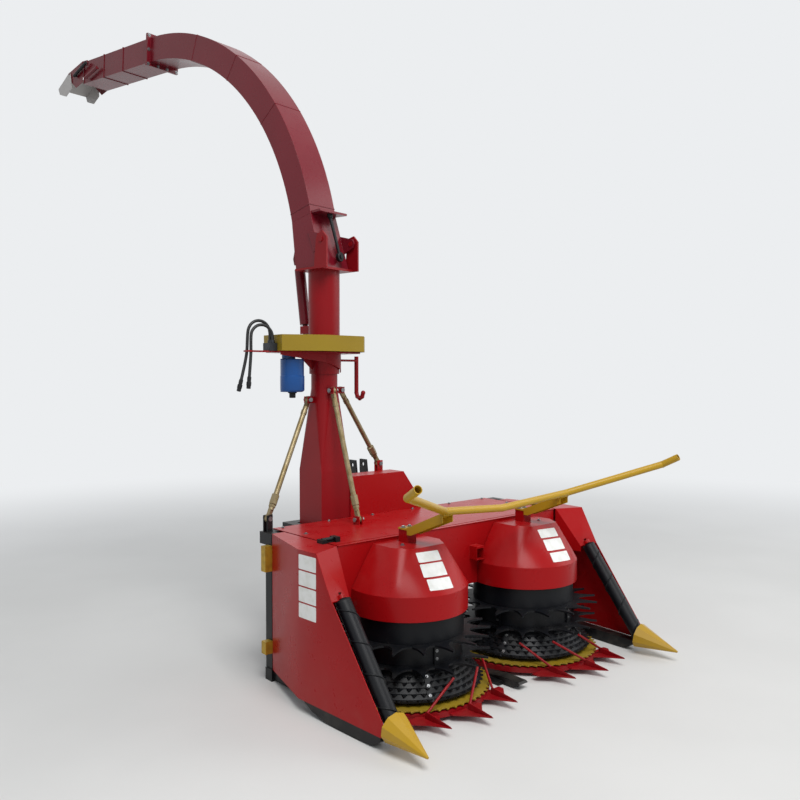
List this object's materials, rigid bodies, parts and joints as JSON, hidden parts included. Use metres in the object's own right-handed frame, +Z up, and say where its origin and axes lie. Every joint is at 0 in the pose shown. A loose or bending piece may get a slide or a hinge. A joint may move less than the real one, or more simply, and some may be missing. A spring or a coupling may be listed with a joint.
{
  "type": "forage harvester",
  "caption": "Tractor-mounted forage harvester with twin tined cutting drums between divider cones, a pusher bar and a slewing, lifting discharge spout with hinged deflector flaps.",
  "frame": {"origin": "on the ground, on the centre plane below the line of the two drum axes, on the sole of the centre skid", "axes": "+Z up, -Y forwards, the way the cutting drums face, +X to the machine's left; the spout points back along +Y"},
  "size_m": [1.93, 4.2362, 3.8514],
  "materials": {
    "red_body": "gloss red enamel on folded sheet steel",
    "red_spout": "satin red enamel, slightly chalky",
    "red_cast": "red enamel on welded plate",
    "yellow": "gloss yellow enamel",
    "black_frame": "black enamel on box section steel",
    "black_drum": "black enamel on rolled steel",
    "dark_steel": "dark machined iron",
    "zinc": "yellow passivated zinc",
    "blue_motor": "gloss blue enamel on cast iron",
    "bright_steel": "ground and chromed rod",
    "hose_rubber": "black oil hose rubber",
    "grey_flap": "pale grey undercoat"
  },
  "bodies": {
    "chassis": {"base_frame": "black_frame", "rear_frame": "black_frame", "side_panel_left": "red_body", "side_panel_right": "red_body", "panel_clips": "zinc", "top_cover": "red_body", "front_wall": "red_body", "rear_hood": "red_body", "chopper_housing": "red_cast", "gearbox": "dark_steel", "intake_channel": "black_frame", "drum_cover_left": "red_body", "drum_cover_right": "red_body", "pusher_bar": "yellow", "cutter_pan_left": "red_cast", "cutter_pan_right": "red_cast", "tip_cone_left": "yellow", "tip_cone_right": "yellow", "tower": "red_cast", "stay_front": "zinc", "stay_left": "zinc", "stay_right": "zinc", "slew_bracket": "red_cast", "slew_guard": "yellow", "slew_motor": "blue_motor", "hose_hook": "red_cast", "deck_latches": "black_frame", "valve_block": "dark_steel", "hose_a": "hose_rubber", "hose_b": "hose_rubber", "hose_ends": "dark_steel"},
    "drum_left": {"drum_left": "black_drum"},
    "drum_right": {"drum_right": "black_drum"},
    "knife_left": {"knife_disc_left": "yellow"},
    "knife_right": {"knife_disc_right": "yellow"},
    "tube_left": {"divider_tube_left": "black_drum"},
    "tube_right": {"divider_tube_right": "black_drum"},
    "roller_left": {"feed_roller_left": "dark_steel"},
    "roller_right": {"feed_roller_right": "dark_steel"},
    "input_shaft": {"input_shaft": "bright_steel"},
    "slew_tube": {"spout_tube": "red_cast"},
    "spout": {"spout_box": "red_spout", "spout_elbow": "red_spout", "spout_end": "red_spout"},
    "lift_barrel": {"lift_barrel": "red_spout"},
    "lift_rod": {"lift_rod": "bright_steel"},
    "flap_one": {"flap_one": "red_spout"},
    "flap_two": {"flap_two": "grey_flap"}
  },
  "joints": [
    {"name": "drum_left_spin", "type": "hinge", "parent": "chassis", "child": "drum_left", "pos_m": [0.424, 0, 0.24], "axis": [0, 0, 1], "continuous": true},
    {"name": "drum_right_spin", "type": "hinge", "parent": "chassis", "child": "drum_right", "pos_m": [-0.424, 0, 0.24], "axis": [0, 0, 1], "continuous": true},
    {"name": "knife_left_spin", "type": "hinge", "parent": "chassis", "child": "knife_left", "pos_m": [0.424, 0, 0.055], "axis": [0, 0, 1], "continuous": true},
    {"name": "knife_right_spin", "type": "hinge", "parent": "chassis", "child": "knife_right", "pos_m": [-0.424, 0, 0.055], "axis": [0, 0, 1], "continuous": true},
    {"name": "tube_left_spin", "type": "hinge", "parent": "chassis", "child": "tube_left", "pos_m": [0.885, -0.1, 0.54], "axis": [-0.0071, -0.6082, -0.7937], "continuous": true},
    {"name": "tube_right_spin", "type": "hinge", "parent": "chassis", "child": "tube_right", "pos_m": [-0.885, -0.1, 0.54], "axis": [0.0071, -0.6082, -0.7937], "continuous": true},
    {"name": "roller_left_spin", "type": "hinge", "parent": "chassis", "child": "roller_left", "pos_m": [0.118, 0.5, 0.24], "axis": [0, 0, 1], "continuous": true},
    {"name": "roller_right_spin", "type": "hinge", "parent": "chassis", "child": "roller_right", "pos_m": [-0.118, 0.5, 0.24], "axis": [0, 0, 1], "continuous": true},
    {"name": "input_shaft_spin", "type": "hinge", "parent": "chassis", "child": "input_shaft", "pos_m": [-0.05, 1, 0.45], "axis": [0, 1, 0], "continuous": true},
    {"name": "spout_slew", "type": "hinge", "parent": "chassis", "child": "slew_tube", "pos_m": [-0.383, 0.744, 1.7], "axis": [0, 0, 1], "range_deg": [-105, 105]},
    {"name": "spout_lift", "type": "hinge", "parent": "slew_tube", "child": "spout", "pos_m": [-0.36797, 0.63705, 2.245], "axis": [0.9903, 0.1392, 0], "range_deg": [0, 18]},
    {"name": "lift_barrel_swing", "type": "hinge", "parent": "slew_tube", "child": "lift_barrel", "pos_m": [-0.40388, 0.89254, 1.775], "axis": [0.9903, 0.1392, 0], "range_deg": [-1, 1.5]},
    {"name": "lift_rod_slide", "type": "slide", "parent": "lift_barrel", "child": "lift_rod", "axis": [-0.0194, 0.1379, 0.9903], "range_m": [-0.002, 0.103]},
    {"name": "flap_one_tilt", "type": "hinge", "parent": "spout", "child": "flap_one", "pos_m": [-0.72866, 3.20347, 3.83481], "axis": [0.9903, 0.1392, 0], "range_deg": [-40, 10]},
    {"name": "flap_two_tilt", "type": "hinge", "parent": "flap_one", "child": "flap_two", "pos_m": [-0.75405, 3.38416, 3.7982], "axis": [0.9903, 0.1392, 0], "range_deg": [-33, 9]}
  ],
  "couplings": [
    {"joint": "lift_barrel_swing", "follows": "spout_lift", "ratio": 0.015191},
    {"joint": "lift_rod_slide", "follows": "spout_lift", "m_per_rad": 0.32152},
    {"joint": "flap_two_tilt", "follows": "flap_one_tilt", "ratio": 0.8}
  ]
}
